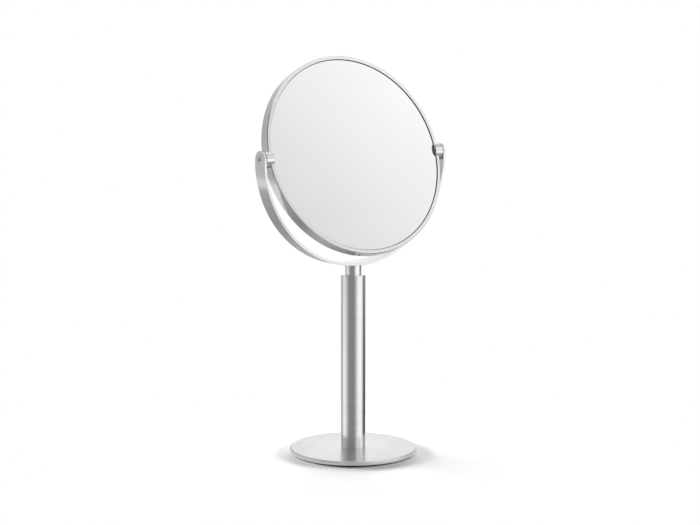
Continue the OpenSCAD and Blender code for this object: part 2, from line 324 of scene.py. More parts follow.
@dataclass(frozen=True)
class BrushedSteel(Finish):
    """Satin stainless steel with brushed lines.

    The grain runs along the X axis, or turns about the Z axis, of the turned coordinates.
    """

    slot: str
    lay: Lay
    turned: tuple[float, float, float] = (0.0, 0.0, 0.0)
    centre: tuple[float, float, float] = (0.0, 0.0, 0.0)
    dark: Colour = (0.79, 0.79, 0.79)
    light: Colour = (0.85, 0.85, 0.85)
    roughness: float = 0.22
    contrast: float = 0.05
    anisotropy: float = 0.8
    along: float = 45.0
    across: float = 2600.0
    fine_share: float = 0.45
    worn: Colour = (0.93, 0.93, 0.93)
    wear: float = 0.5
    smudge: float = 0.035
    polish: float = 0.06
    relief: float = 0.035

    def build(self, shared: SharedEffects) -> bpy.types.Material:
        """Builds the material."""
        material, sheet, shader, place = self.start()
        moved = sheet.add("ShaderNodeVectorMath", operation="SUBTRACT")
        sheet.feed(moved.inputs[0], place)
        moved.inputs[1].default_value = self.centre
        turn = sheet.add("ShaderNodeMapping", vector_type="POINT")
        sheet.feed(turn.inputs["Vector"], moved.outputs[0])
        turn.inputs["Rotation"].default_value = self.turned
        grain = self.use(sheet, shared.grain, Vector=turn.outputs[0], Along=self.along,
                         Across=self.across, Round=self.lay.value)
        marks = self.use(sheet, shared.handling, Vector=place)
        edges = self.use(sheet, shared.edges, Vector=place)
        tone = sheet.math("ADD", sheet.math("MULTIPLY", grain.outputs["Broad"], 1.0 - self.fine_share),
                          sheet.math("MULTIPLY", grain.outputs["Fine"], self.fine_share))
        brushed = sheet.blend(tone, self.dark, self.light)
        worn = sheet.blend(sheet.math("MULTIPLY", edges.outputs["Edge"], self.wear), brushed, self.worn)
        sheet.feed(shader.inputs["Base Color"], worn)
        rough = sheet.math("ADD", self.roughness - 0.5 * self.contrast,
                           sheet.math("MULTIPLY", grain.outputs["Fine"], self.contrast))
        rough = sheet.math("ADD", rough, sheet.math("MULTIPLY", marks.outputs["Smudge"], self.smudge))
        rough = sheet.math("SUBTRACT", rough, sheet.math("MULTIPLY", edges.outputs["Edge"], self.polish))
        sheet.feed(shader.inputs["Roughness"], rough)
        shader.inputs["Metallic"].default_value = 1.0
        shader.inputs["Anisotropic"].default_value = self.anisotropy
        shader.inputs["Anisotropic Rotation"].default_value = 0.25
        sheet.feed(shader.inputs["Tangent"],
                   sheet.add("ShaderNodeTangent", direction_type="UV_MAP", uv_map=GRAIN_UV).outputs[0])
        self.bump(sheet, shader, grain.outputs["Height"], self.relief, BRUSH_DEPTH)
        return material


@dataclass(frozen=True)
class MachinedSteel(Finish):
    """Steel off the lathe, the press or the screw machine."""

    slot: str
    tint: Colour = (0.84, 0.84, 0.84)
    shade: Colour = (0.76, 0.76, 0.76)
    roughness: float = 0.12
    ridges: float = 2200.0
    relief: float = 0.03
    worn: Colour = (0.92, 0.92, 0.92)
    wear: float = 0.6
    streaks: float = 0.05
    smudge: float = 0.06

    def build(self, shared: SharedEffects) -> bpy.types.Material:
        """Builds the material."""
        material, sheet, shader, place = self.start()
        grain = self.use(sheet, shared.grain, Vector=place, Along=self.ridges / 8, Across=self.ridges,
                         Round=0.0)
        marks = self.use(sheet, shared.handling, Vector=place, Scale=60.0)
        edges = self.use(sheet, shared.edges, Vector=place)
        base = sheet.blend(grain.outputs["Broad"], self.shade, self.tint)
        base = sheet.blend(sheet.math("MULTIPLY", edges.outputs["Edge"], self.wear), base, self.worn)
        sheet.feed(shader.inputs["Base Color"], base)
        lines = sheet.math("MULTIPLY", grain.outputs["Fine"], self.streaks)
        rough = sheet.math("ADD", self.roughness, lines)
        sheet.feed(shader.inputs["Roughness"],
                   sheet.math("ADD", rough, sheet.math("MULTIPLY", marks.outputs["Smudge"], self.smudge)))
        shader.inputs["Metallic"].default_value = 1.0
        self.bump(sheet, shader, grain.outputs["Height"], self.relief, BRUSH_DEPTH)
        return material


@dataclass(frozen=True)
class SilveredGlass(Finish):
    """Mirror glass with the faintest dust and wiping marks."""

    slot: str
    clean: Colour = (0.90, 0.90, 0.90)
    dull: Colour = (0.875, 0.875, 0.875)
    veil: float = 0.6
    smudge: float = 0.012
    dust: float = 0.02
    roughness: float = 0.008

    def build(self, shared: SharedEffects) -> bpy.types.Material:
        """Builds the material."""
        material, sheet, shader, place = self.start()
        marks = self.use(sheet, shared.handling, Vector=place, Scale=9.0)
        veil = sheet.math("MULTIPLY", marks.outputs["Smudge"], self.veil)
        sheet.feed(shader.inputs["Base Color"], sheet.blend(veil, self.clean, self.dull))
        haze = sheet.math("ADD", sheet.math("MULTIPLY", marks.outputs["Smudge"], self.smudge),
                          sheet.math("MULTIPLY", marks.outputs["Specks"], self.dust))
        sheet.feed(shader.inputs["Roughness"], sheet.math("ADD", haze, self.roughness))
        shader.inputs["Metallic"].default_value = 1.0
        return material


@dataclass(frozen=True)
class Moulded(Finish):
    """Moulded plastic or rubber with a fine skin."""

    slot: str
    tint: Colour
    shade: Colour
    roughness: float = 0.45
    skin: float = 1500.0
    relief: float = 0.25
    smudge: float = 0.12
    unevenness: float = 0.06

    def build(self, shared: SharedEffects) -> bpy.types.Material:
        """Builds the material."""
        material, sheet, shader, place = self.start()
        skin = self.use(sheet, shared.pebble, Vector=place, Scale=self.skin)
        marks = self.use(sheet, shared.handling, Vector=place, Scale=40.0)
        sheet.feed(shader.inputs["Base Color"], sheet.blend(skin.outputs["Tone"], self.shade, self.tint))
        smudged = sheet.math("MULTIPLY", marks.outputs["Smudge"], self.smudge)
        rough = sheet.math("ADD", self.roughness, smudged)
        uneven = sheet.math("MULTIPLY", skin.outputs["Tone"], self.unevenness)
        sheet.feed(shader.inputs["Roughness"], sheet.math("ADD", rough, uneven))
        self.bump(sheet, shader, skin.outputs["Height"], self.relief, SKIN_DEPTH)
        return material


# ---- Shapes ----


def rounded(corners: Iterable[tuple[float, float, float]], steps: int = 6) -> Outline:
    """Closed outline through corners, each with its own rounding.

    Args:
        corners: Two coordinates and a radius for each corner.
        steps: Points along each rounding, less one.

    Returns:
        The outline's points in order.
    """
    given = list(corners)
    outline: Outline = []
    for index, (x, y, radius) in enumerate(given):
        if radius <= 0:
            outline.append((x, y))
            continue
        corner = Vector((x, y))
        back = (Vector(given[index - 1][:2]) - corner).normalized()
        ahead = (Vector(given[(index + 1) % len(given)][:2]) - corner).normalized()
        half = back.angle(ahead) / 2
        centre = corner + (back + ahead).normalized() * (radius / math.sin(half))
        first = corner + back * (radius / math.tan(half)) - centre
        last = corner + ahead * (radius / math.tan(half)) - centre
        spread = first.angle(last)
        for step in range(steps + 1):
            share = step / steps
            arm = first * math.sin((1 - share) * spread) + last * math.sin(share * spread)
            outline.append(tuple(centre + arm / math.sin(spread)))
    return outline


def circle(radius: float, height: float, count: int) -> list[Vector]:
    """One loop of points round the Z axis."""
    angles = [math.tau * i / count for i in range(count)]
    return [Vector((radius * math.cos(angle), radius * math.sin(angle), height)) for angle in angles]


def hexagon(apothem: float, height: float, count: int) -> list[Vector]:
    """One loop of points along a hexagon, at even angles round the Z axis."""
    sixth = math.tau / 6
    loop = []
    for i in range(count):
        angle = math.tau * i / count
        radius = apothem / math.cos((angle + sixth / 2) % sixth - sixth / 2)
        loop.append(Vector((radius * math.cos(angle), radius * math.sin(angle), height)))
    return loop


def skin(name: str, loops: Sequence[Sequence[Vector]], closed: bool, sharp: float = 40.0) -> bpy.types.Mesh:
    """Covers a stack of loops with a closed shell that has grain coordinates.

    Args:
        name: The mesh's name.
        loops: Loops of the same number of points. A loop of equal points makes a pole.
        closed: Whether the last loop joins the first one.
        sharp: Angle in degrees above which an edge stays sharp.

    Returns:
        The mesh, with its faces pointing outwards.
    """
    count = len(loops[0])
    vertices = [point for loop in loops for point in loop]
    girth = max(sum((loop[i] - loop[i - 1]).length for i in range(count)) for loop in loops)
    rises = [0.0]
    for lower, upper in zip(loops, list(loops[1:]) + [loops[0]]):
        rises.append(rises[-1] + max((a - b).length for a, b in zip(lower, upper)))
    faces, corners = [], []
    for row in range(len(loops) if closed else len(loops) - 1):
        above = (row + 1) % len(loops)
        for i in range(count):
            j = (i + 1) % count
            faces.append((row * count + i, row * count + j, above * count + j, above * count + i))
            left, right = girth * i / count, girth * (i + 1) / count
            low, high = rises[row], rises[row + 1]
            corners += [(left, low), (right, low), (right, high), (left, high)]
    mesh = bpy.data.meshes.new(name)
    mesh.from_pydata(vertices, [], faces)
    grain = mesh.uv_layers.new(name=GRAIN_UV)
    for item, corner in zip(grain.data, corners):
        item.uv = corner
    return clean_shell(mesh, sharp)


def clean_shell(mesh: bpy.types.Mesh, sharp: float) -> bpy.types.Mesh:
    """Merges doubles, turns faces outwards and shades the mesh smooth between sharp edges."""
    work = bmesh.new()
    work.from_mesh(mesh)
    bmesh.ops.remove_doubles(work, verts=work.verts, dist=1e-7)
    bmesh.ops.dissolve_degenerate(work, edges=work.edges, dist=1e-8)
    bmesh.ops.recalc_face_normals(work, faces=work.faces)
    work.to_mesh(mesh)
    work.free()
    for face in mesh.polygons:
        face.use_smooth = True
    mesh.set_sharp_from_angle(angle=math.radians(sharp))
    return mesh


def spun(name: str, outline: Outline, count: int, closed: bool = True,
         sharp: float = 40.0) -> bpy.types.Mesh:
    """Turns an outline of radius and height round the Z axis.

    Args:
        name: The mesh's name.
        outline: Radius and height of each point. An open outline starts and ends on the axis.
        count: Steps round the axis.
        closed: Whether the outline is a closed loop.
        sharp: Angle in degrees above which an edge stays sharp.

    Returns:
        The turned mesh.
    """
    return skin(name, [circle(radius, height, count) for radius, height in outline], closed, sharp)


def evaluated(thing: bpy.types.Object) -> bpy.types.Mesh:
    """Mesh of an object with its modifiers applied."""
    bpy.context.view_layer.update()
    ready = thing.evaluated_get(bpy.context.evaluated_depsgraph_get())
    return bpy.data.meshes.new_from_object(ready)


def flat_faced(thing: bpy.types.Object) -> bpy.types.Object:
    """Shades wide faces flat right up to their rounded edges."""
    weighting = thing.modifiers.new("flat faces", "WEIGHTED_NORMAL")
    weighting.keep_sharp = True
    weighting.weight = 80
    made = evaluated(thing)
    thing.modifiers.clear()
    thing.data = made
    return thing


# ---- Geometry Nodes ----


def geometry_tree(name: str,
                  inputs: Sequence[tuple[str, str]]) -> tuple[Sheet, bpy.types.Node, bpy.types.Node]:
    """Starts a Geometry Nodes tree with a geometry input and output.

    Args:
        name: The tree's name.
        inputs: Name and socket type of each named input.

    Returns:
        The tree's sheet, its input node and its output node.
    """
    tree = bpy.data.node_groups.new(name, "GeometryNodeTree")
    tree.interface.new_socket(name="Geometry", in_out="INPUT", socket_type="NodeSocketGeometry")
    for label, kind in inputs:
        tree.interface.new_socket(name=label, in_out="INPUT", socket_type=kind)
    tree.interface.new_socket(name="Geometry", in_out="OUTPUT", socket_type="NodeSocketGeometry")
    sheet = Sheet(tree)
    return sheet, sheet.add("NodeGroupInput"), sheet.add("NodeGroupOutput")


def close_tree(sheet: Sheet, shape: bpy.types.NodeSocket, finish: bpy.types.NodeSocket,
               result: bpy.types.Node) -> None:
    """Ends a tree in Realize Instances and Set Material."""
    real = sheet.add("GeometryNodeRealizeInstances")
    sheet.feed(real.inputs["Geometry"], shape)
    dress = sheet.add("GeometryNodeSetMaterial")
    sheet.feed(dress.inputs["Geometry"], real.outputs["Geometry"])
    sheet.feed(dress.inputs["Material"], finish)
    sheet.feed(result.inputs["Geometry"], dress.outputs["Geometry"])


def swept_ring_tree() -> bpy.types.NodeTree:
    """Sweeps a rounded section round a circle, as the frame and the seals are formed.

    Returns:
        A tree with the section's sizes, the circle's radius and the finish as inputs.
    """
    sheet, given, result = geometry_tree("Swept ring", (
        ("Middle radius", "NodeSocketFloat"), ("Wall", "NodeSocketFloat"), ("Depth", "NodeSocketFloat"),
        ("Outer rounding", "NodeSocketFloat"), ("Inner rounding", "NodeSocketFloat"),
        ("Steps", "NodeSocketInt"), ("Finish", "NodeSocketMaterial")))
    path = sheet.add("GeometryNodeCurvePrimitiveCircle")
    sheet.feed(path.inputs["Resolution"], given.outputs["Steps"])
    sheet.feed(path.inputs["Radius"], given.outputs["Middle radius"])
    section = sheet.add("GeometryNodeCurvePrimitiveQuadrilateral", mode="RECTANGLE")
    sheet.feed(section.inputs["Width"], given.outputs["Wall"])
    sheet.feed(section.inputs["Height"], given.outputs["Depth"])
    side = sheet.add("ShaderNodeSeparateXYZ")
    sheet.feed(side.inputs[0], sheet.add("GeometryNodeInputPosition").outputs[0])
    outer = sheet.add("FunctionNodeCompare", data_type="FLOAT", operation="GREATER_THAN")
    sheet.feed(outer.inputs[0], side.outputs["X"])
    outer.inputs[1].default_value = 0.0
    choice = sheet.add("GeometryNodeSwitch", input_type="FLOAT")
    sheet.feed(choice.inputs["Switch"], outer.outputs[0])
    sheet.feed(choice.inputs["False"], given.outputs["Inner rounding"])
    sheet.feed(choice.inputs["True"], given.outputs["Outer rounding"])
    soft = sheet.add("GeometryNodeFilletCurve", mode="POLY")
    sheet.feed(soft.inputs["Curve"], section.outputs["Curve"])
    soft.inputs["Count"].default_value = 6
    sheet.feed(soft.inputs["Radius"], choice.outputs[0])
    lengths = []
    for curve in (path.outputs["Curve"], soft.outputs["Curve"]):
        keep = sheet.add("GeometryNodeCaptureAttribute", domain="POINT")
        keep.capture_items.new("FLOAT", "Length")
        sheet.feed(keep.inputs["Geometry"], curve)
        sheet.feed(keep.inputs["Length"], sheet.add("GeometryNodeSplineParameter").outputs["Length"])
        lengths.append(keep)
    sweep = sheet.add("GeometryNodeCurveToMesh")
    sheet.feed(sweep.inputs["Curve"], lengths[0].outputs["Geometry"])
    sheet.feed(sweep.inputs["Profile Curve"], lengths[1].outputs["Geometry"])
    grain = sheet.add("ShaderNodeCombineXYZ")
    sheet.feed(grain.inputs[0], lengths[0].outputs["Length"])
    sheet.feed(grain.inputs[1], lengths[1].outputs["Length"])
    store = sheet.add("GeometryNodeStoreNamedAttribute", data_type="FLOAT2", domain="CORNER")
    sheet.feed(store.inputs["Geometry"], sweep.outputs["Mesh"])
    store.inputs["Name"].default_value = GRAIN_UV
    sheet.feed(store.inputs["Value"], grain.outputs[0])
    close_tree(sheet, store.outputs["Geometry"], given.outputs["Finish"], result)
    return sheet.tree


def both_ends_tree() -> bpy.types.NodeTree:
    """Repeats one piece at the two ends of the pivot axis, half a turn about Y apart.

    Returns:
        A tree whose geometry input is the piece at the right-hand end.
    """
    sheet, given, result = geometry_tree("Both ends of the pivot", (("Finish", "NodeSocketMaterial"),))
    spots = sheet.add("GeometryNodePoints")
    spots.inputs["Count"].default_value = 2
    turn = sheet.math("MULTIPLY", sheet.add("GeometryNodeInputIndex").outputs[0], math.pi)
    turned = sheet.add("ShaderNodeCombineXYZ")
    sheet.feed(turned.inputs["Y"], turn)
    copies = sheet.add("GeometryNodeInstanceOnPoints")
    sheet.feed(copies.inputs["Points"], spots.outputs[0])
    sheet.feed(copies.inputs["Instance"], given.outputs["Geometry"])
    sheet.feed(copies.inputs["Rotation"], turned.outputs[0])
    close_tree(sheet, copies.outputs["Instances"], given.outputs["Finish"], result)
    return sheet.tree


def grown(name: str, host: bpy.types.Mesh, tree: bpy.types.NodeTree,
          values: dict[str, object]) -> bpy.types.Mesh:
    """Runs a Geometry Nodes tree on a mesh and returns its result as a plain mesh.

    Args:
        name: The result's name.
        host: The mesh given to the tree.
        tree: The tree.
        values: A value for each named input.

    Returns:
        The plain mesh.
    """
    thing = bpy.data.objects.new(name, host)
    bpy.context.scene.collection.objects.link(thing)
    modifier = thing.modifiers.new(name, "NODES")
    modifier.node_group = tree
    for item in tree.interface.items_tree:
        if item.item_type == "SOCKET" and item.in_out == "INPUT" and item.name in values:
            modifier[item.identifier] = values[item.name]
    mesh = evaluated(thing)
    mesh.name = name
    bpy.data.objects.remove(thing)
    return mesh


class Workshop:
    """Builds finishes once and turns meshes into placed, dressed pieces."""

    def __init__(self, finishes: Iterable[Finish]) -> None:
        """Builds the shared effects, the finishes and the Geometry Nodes trees."""
        shared = SharedEffects()
        self.materials = {finish.slot: finish.build(shared) for finish in finishes}
        self.swept_ring = swept_ring_tree()
        self.both_ends = both_ends_tree()

    def piece(self, name: str, mesh: bpy.types.Mesh, slot: str, body: str, *nodes: str) -> bpy.types.Object:
        """Makes a finished piece that stands for CAD nodes.

        Args:
            name: The piece's name.
            mesh: Its mesh, in place.
            slot: Its material slot.
            body: The body that it rides on.
            nodes: The CAD nodes that it replaces.

        Returns:
            The piece.
        """
        mesh.materials.clear()
        mesh.materials.append(self.materials[slot])
        thing = bpy.data.objects.new(name, mesh)
        bpy.context.scene.collection.objects.link(thing)
        flat_faced(thing)
        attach(thing, body)
        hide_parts(*nodes)
        LOG.info("%s: %d faces, %s, on %s", name, len(thing.data.polygons), slot, body)
        return thing

    def dress(self, nodes: dict[str, str]) -> None:
        """Gives CAD nodes that keep their shape their finish, by node name."""
        for node, slot in nodes.items():
            thing = frame["nodes"][node]
            thing.data.materials.clear()
            thing.data.materials.append(self.materials[slot])
            LOG.info("%s: CAD shape, %s", node, slot)


def reach(node: str) -> float:
    """Largest X of a CAD node, which is the radius of a piece turned about the column."""
    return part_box(node)[1].x


# ---- Sub-assemblies ----


@dataclass
class Foot:
    """Round base plate on its anti-slip pad."""

    radius: float = field(default_factory=lambda: reach("base_plate"))
    bottom: float = field(default_factory=lambda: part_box("base_plate")[0].z)
    top: float = field(default_factory=lambda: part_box("base_plate")[1].z)
    pad_radius: float = field(default_factory=lambda: reach("foot_pad"))
    top_rounding: float = 1.5 * MM
    lower_rounding: float = 0.3 * MM
    bore: float = 3.2 * MM
    countersink: float = 6.2 * MM
    brush_angle: float = math.radians(-34.8)
    steps: int = 360

    def plate_mesh(self) -> bpy.types.Mesh:
        """Plate with a rounded top edge and its countersunk hole, brushed straight across."""
        cone = self.countersink - self.bore
        outline = rounded((
            (self.bore, self.top, 0.0), (self.radius, self.top, self.top_rounding),
            (self.radius, self.bottom, self.lower_rounding), (self.countersink, self.bottom, 0.0),
            (self.bore, self.bottom + cone, 0.0)), steps=10)
        mesh = spun("base_plate_finished", outline, self.steps)
        along = Vector((math.cos(self.brush_angle), math.sin(self.brush_angle), 0.0))
        over = Vector((-along.y, along.x, 0.0))
        grain = mesh.uv_layers[GRAIN_UV].data
        for face in mesh.polygons:
            if abs(face.normal.z) > 0.5:
                for index in face.loop_indices:
                    point = mesh.vertices[mesh.loops[index].vertex_index].co
                    grain[index].uv = (point.dot(along), point.dot(over))
        return mesh

    def pad_mesh(self) -> bpy.types.Mesh:
        """Flat rubber sheet with softened edges."""
        soft = 0.35 * MM
        outline = rounded(((0.0, 0.0, 0.0), (self.pad_radius, 0.0, soft),
                           (self.pad_radius, self.bottom, soft / 2), (0.0, self.bottom, 0.0)))
        return spun("foot_pad_finished", outline, self.steps, closed=False)

    def build(self, shop: Workshop) -> None:
        """Makes the foot's pieces."""
        shop.piece("base_plate_finished", self.plate_mesh(), "brushed_plate", "foot", "base_plate")
        shop.piece("foot_pad_finished", self.pad_mesh(), "foot_rubber", "foot", "foot_pad")
        shop.dress({"base_screw": "plain_steel", "foot_plug": "plain_steel"})


@dataclass
class Column:
    """Fixed column tube with its top bush and what is shut inside it."""

    radius: float = field(default_factory=lambda: reach("outer_tube"))
    bore: float = field(default_factory=lambda: reach("foot_plug"))
    bottom: float = field(default_factory=lambda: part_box("outer_tube")[0].z)
    top: float = field(default_factory=lambda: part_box("outer_tube")[1].z)
    bush_bottom: float = field(default_factory=lambda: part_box("top_bush")[0].z)
    slide_radius: float = field(default_factory=lambda: reach("inner_tube"))
    running_fit: float = 0.08 * MM
    liner_radius: float = field(default_factory=lambda: reach("bush_liner"))
    cap: float = 2.5 * MM
    steps: int = 192

    def tube_mesh(self) -> bpy.types.Mesh:
        """Column tube with its ends broken."""
        outline = rounded((
            (self.bore, self.bottom, 0.1 * MM), (self.radius, self.bottom, 0.25 * MM),
            (self.radius, self.top, 0.35 * MM), (self.bore, self.top, 0.12 * MM)), steps=5)
        return spun("outer_tube_finished", outline, self.steps)

    def bush_mesh(self) -> bpy.types.Mesh:
        """Bush that closes the top of the tube, with its thick cap above the liner's seat."""
        bore = self.slide_radius + self.running_fit
        outline = rounded((
            (bore, self.top, 0.25 * MM), (bore, self.top - self.cap, 0.05 * MM),
            (self.liner_radius, self.top - self.cap, 0.0), (self.liner_radius, self.bush_bottom, 0.05 * MM),
            (self.bore, self.bush_bottom, 0.1 * MM), (self.bore, self.top, 0.12 * MM)), steps=5)
        return spun("top_bush_finished", outline, self.steps)

    def build(self, shop: Workshop) -> None:
        """Makes the column's pieces."""
        shop.piece("outer_tube_finished", self.tube_mesh(), "brushed_tube", "foot", "outer_tube")
        shop.piece("top_bush_finished", self.bush_mesh(), "turned_steel", "foot", "top_bush")
        shop.dress({"bump_stop": "black_rubber", "bush_liner": "white_plastic", "brake_ring": "black_rubber",
                    "slide_guide": "white_plastic", "guide_rings": "black_rubber",
                    "swivel_washer": "white_plastic"})


@dataclass
class Arm:
    """Sliding tube and the half-round yoke on its top."""

    pivot_height: float
    tube_radius: float = field(default_factory=lambda: reach("inner_tube"))
    tube_bore: float = field(default_factory=lambda: reach("tube_end_plug"))
    tube_bottom: float = field(default_factory=lambda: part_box("inner_tube")[0].z)
    yoke_bottom: float = field(default_factory=lambda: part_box("yoke")[0].z)
    width: float = field(default_factory=lambda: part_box("yoke")[1].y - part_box("yoke")[0].y)
    ear_out: float = field(default_factory=lambda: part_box("right_ear_bush")[1].x)
    ear_in: float = field(default_factory=lambda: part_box("right_ear_bush")[0].x)
    bush_head: float = field(default_factory=lambda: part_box("right_ear_bush")[1].y)
    screw_head: float = field(default_factory=lambda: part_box("right_pivot_screw")[1].y)
    bush_radius: float = 3.2 * MM
    bush_bore: float = 2.08 * MM
    head_clearance: float = 0.08 * MM
    edge: float = 0.35 * MM
    bend_run: float = math.radians(14.0)
    strip_steps: int = 240
    ear_steps: int = 96

    def tube_mesh(self) -> bpy.types.Mesh:
        """Sliding tube whose top is cut to the curve of the yoke."""
        count = 192
        seat = self.pivot_height - self.yoke_bottom
        top = self.yoke_bottom
        profile = rounded(((self.tube_bore, self.tube_bottom, 0.1 * MM),
                           (self.tube_radius, self.tube_bottom, 0.2 * MM),
                           (self.tube_radius, top, 0.0), (self.tube_bore, top, 0.0)))
        loops = [circle(radius, height, count) for radius, height in profile[:-2]]
        for radius in (self.tube_radius, self.tube_bore):
            loops.append([Vector((p.x, p.y, self.pivot_height - math.sqrt(seat * seat - p.x * p.x)))
                          for p in circle(radius, 0.0, count)])
        return skin("inner_tube_finished", loops, closed=True)

    def strip_section(self) -> Outline:
        """Cross-section of the strip: share of its thickness and place across its width."""
        half = self.width / 2
        thick = self.ear_out - self.ear_in
        return rounded(((0.0, -half, self.edge), (thick, -half, self.edge),
                        (thick, half, self.edge), (0.0, half, self.edge)), steps=5)

    def strip_mesh(self) -> bpy.types.Mesh:
        """Half ring from ear to ear, about the pivot axis."""
        outer = self.pivot_height - self.yoke_bottom
        half = self.width / 2
        inner = math.hypot(self.ear_in, half)
        starts = (math.asin(half / inner), math.asin(half / outer))
        thick = self.ear_out - self.ear_in
        loops = []
        for step in range(self.strip_steps + 1):
            share = step / self.strip_steps
            loop = []
            for inwards, across in self.strip_section():
                depth = inwards / thick
                start = starts[0] + (starts[1] - starts[0]) * depth
                angle = math.pi + start + (math.pi - 2 * start) * share
                radius = inner + (outer - inner) * depth
                height = self.pivot_height + radius * math.sin(angle)
                loop.append(Vector((radius * math.cos(angle), across, height)))
            loops.append(loop)
        middle = [[sum(loop, Vector()) / len(loop)] * len(loop) for loop in (loops[0], loops[-1])]
        mesh = skin("yoke_strip", [middle[0], *loops, middle[1]], closed=False)
        grain = mesh.uv_layers[GRAIN_UV].data
        for item in grain:
            item.uv = (item.uv.y, item.uv.x)
        return mesh

    def ear_loop(self, inset: float, height: float) -> list[Vector]:
        """One loop round an ear: a half circle above the axis and a square below it.

        Args:
            inset: How far the loop lies inside the ear's rim.
            height: Its place along the pivot axis.

        Returns:
            The loop, with X up the ear and Y across it.
        """
        full = self.width / 2
        slim = (full - inset) / full
        loop = []
        for i in range(self.ear_steps):
            angle = math.tau * i / self.ear_steps
            up, side = math.cos(angle), math.sin(angle)
            if up >= 0:
                loop.append(Vector((full * up * slim, full * side * slim, height)))
            else:
                longer = full / max(abs(up), abs(side))
                loop.append(Vector((up * longer, side * longer * slim, height)))
        return loop

    def ear_mesh(self) -> bpy.types.Mesh:
        """Right-hand ear with its countersunk hole, along +Z before it is placed."""
        loops = []
        for base, sign in ((self.ear_in, 1.0), (self.ear_out, -1.0)):
            arc = [(self.edge * (1 - math.sin(a)), base + sign * self.edge * (1 - math.cos(a)))
                   for a in (math.pi / 2 * k / 5 for k in range(6))]
            loops += [self.ear_loop(inset, height) for inset, height in (arc if sign > 0 else reversed(arc))]
        sink = self.bush_head - self.bush_radius
        loops += [circle(self.bush_head + 0.02 * MM, self.ear_out, self.ear_steps),
                  circle(self.bush_radius, self.ear_out - sink, self.ear_steps),
                  circle(self.bush_radius, self.ear_in, self.ear_steps)]
        mesh = skin("yoke_ear", loops, closed=True)
        grain = mesh.uv_layers[GRAIN_UV].data
        for loop in mesh.loops:
            point = mesh.vertices[loop.vertex_index].co
            grain[loop.index].uv = (point.x, point.y)
        return mesh

    def bush_mesh(self) -> bpy.types.Mesh:
        """Right-hand ear bush, along +Z before it is placed."""
        sink = self.bush_head - self.bush_radius
        head_bore = self.screw_head + self.head_clearance
        cone = head_bore - self.bush_bore
        outline = rounded((
            (head_bore, self.ear_out, 0.03 * MM), (self.bush_head, self.ear_out, 0.03 * MM),
            (self.bush_radius, self.ear_out - sink, 0.0), (self.bush_radius, self.ear_in, 0.0),
            (self.bush_bore, self.ear_in, 0.0), (self.bush_bore, self.ear_out - cone, 0.0)), steps=3)
        return spun("ear_bush", outline, self.ear_steps)

    def ease_bend(self, mesh: bpy.types.Mesh) -> None:
        """Shades the start of the bend as a soft run-out of the flat ears, with no crease.

        Args:
            mesh: The finished yoke.
        """
        start = math.asin(self.width / 2 / (self.pivot_height - self.yoke_bottom))
        normals = []
        for loop, corner in zip(mesh.loops, mesh.corner_normals):
            point = mesh.vertices[loop.vertex_index].co
            normal = Vector(corner.vector)
            share = (math.atan2(self.pivot_height - point.z, abs(point.x)) - start) / self.bend_run
            level = math.hypot(normal.x, normal.z)
            if -0.01 < share < 1.0 and level > 0.05:
                kept = smoothstep(max(share, 0.0))
                turned = Vector((normal.x, 0.0, normal.z)) / level * kept
                turned.x += math.copysign(1.0 - kept, normal.x)
                turned = turned.normalized() * level
                normal = Vector((turned.x, normal.y, turned.z))
            normals.append(normal)
        mesh.normals_split_custom_set(normals)

    def build(self, shop: Workshop) -> None:
        """Makes the arm's pieces."""
        sideways = Matrix.Rotation(math.pi / 2, 4, "Y")
        lift = Matrix.Translation((0.0, 0.0, self.pivot_height))
        ears = self.ear_mesh()
        ears.transform(Matrix(((0, 0, 1, 0), (0, 1, 0, 0), (1, 0, 0, 0), (0, 0, 0, 1))))
        other = ears.copy()
        other.transform(Matrix.Diagonal((-1.0, 1.0, 1.0, 1.0)))
        strip = self.strip_mesh()
        for ear in (ears, other):
            ear.transform(lift)
        yoke = joined("yoke_finished", (strip, ears, other))
        self.ease_bend(shop.piece("yoke_finished", yoke, "brushed_strip", "arm", "yoke").data)
        shop.piece("inner_tube_finished", self.tube_mesh(), "brushed_tube", "arm", "inner_tube")
        bush = self.bush_mesh()
        bush.transform(sideways)
        pair = grown("ear_bushes", bush, shop.both_ends, {"Finish": shop.materials["bush_plastic"]})
        pair.transform(lift)
        shop.piece("ear_bushes_finished", pair, "bush_plastic", "arm", "left_ear_bush", "right_ear_bush")
        shop.dress({"tube_end_plug": "plain_steel", "swivel_screw": "screw_steel",
                    "yoke_plug": "plain_steel", "yoke_stud": "plain_steel"})


def half_height(node: str) -> float:
    """Half of a node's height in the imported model."""
    low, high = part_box(node)
    return (high.z - low.z) / 2


def smoothstep(share: float) -> float:
    """Eases a share of 0 to 1 in and out."""
    return share * share * (3.0 - 2.0 * share)


def joined(name: str, meshes: Iterable[bpy.types.Mesh]) -> bpy.types.Mesh:
    """Puts several shells into one mesh and turns each of them outwards."""
    work = bmesh.new()
    for mesh in meshes:
        work.from_mesh(mesh)
    bmesh.ops.recalc_face_normals(work, faces=work.faces)
    made = bpy.data.meshes.new(name)
    work.to_mesh(made)
    work.free()
    made.set_sharp_from_angle(angle=math.radians(40.0))
    return made


